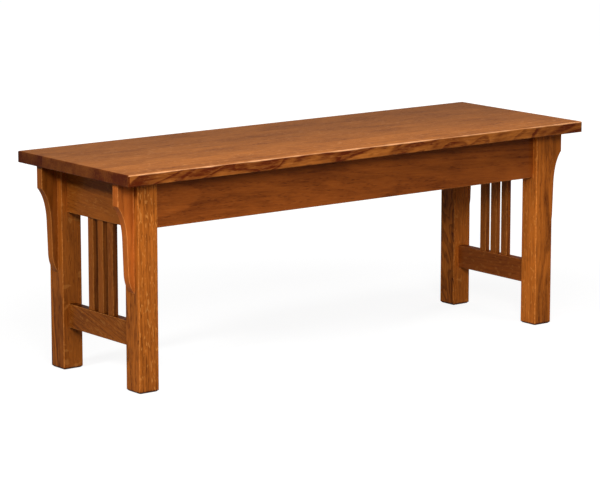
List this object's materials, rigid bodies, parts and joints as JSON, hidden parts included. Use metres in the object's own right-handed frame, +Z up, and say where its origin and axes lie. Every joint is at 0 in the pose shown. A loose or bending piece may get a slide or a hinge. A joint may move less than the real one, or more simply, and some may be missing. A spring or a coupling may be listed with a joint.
{
  "type": "bench",
  "caption": "Backless oak mission bench: flat seat on square legs, deep aprons, slatted ends and a curved corbel under each end of the seat.",
  "frame": {"origin": "on the floor under the middle of the seat", "axes": "+X along the seat's length, -Y the front, +Z up"},
  "size_m": [1.2192, 0.4064, 0.4572],
  "materials": {
    "seat_oak": "satin lacquer over warm brown stain",
    "leg_oak": "satin lacquer over warm brown stain",
    "rail_oak": "satin lacquer over warm brown stain",
    "block_wood": "bare sawn",
    "dowel_wood": "bare turned",
    "clip_steel": "bright zinc",
    "screw_steel": "yellow zinc"
  },
  "bodies": {
    "root": {"seat_board_back": "seat_oak", "seat_board_mid_back": "seat_oak", "seat_board_mid_front": "seat_oak", "seat_board_front": "seat_oak", "leg_left_front": "leg_oak", "leg_left_back": "leg_oak", "leg_right_front": "leg_oak", "leg_right_back": "leg_oak", "apron_front": "rail_oak", "apron_back": "rail_oak", "end_apron_left": "rail_oak", "lower_rail_left": "rail_oak", "slat_left_1": "rail_oak", "slat_left_2": "rail_oak", "slat_left_3": "rail_oak", "end_apron_right": "rail_oak", "lower_rail_right": "rail_oak", "slat_right_1": "rail_oak", "slat_right_2": "rail_oak", "slat_right_3": "rail_oak", "corbel_left_front": "leg_oak", "corbel_left_back": "leg_oak", "corbel_right_front": "leg_oak", "corbel_right_back": "leg_oak", "corner_block_left_front": "block_wood", "corner_block_left_back": "block_wood", "corner_block_right_front": "block_wood", "corner_block_right_back": "block_wood", "corbel_dowels": "dowel_wood", "seat_clips": "clip_steel", "clip_screws": "screw_steel", "block_screws": "screw_steel", "seat_screws": "screw_steel"}
  },
  "joints": []
}
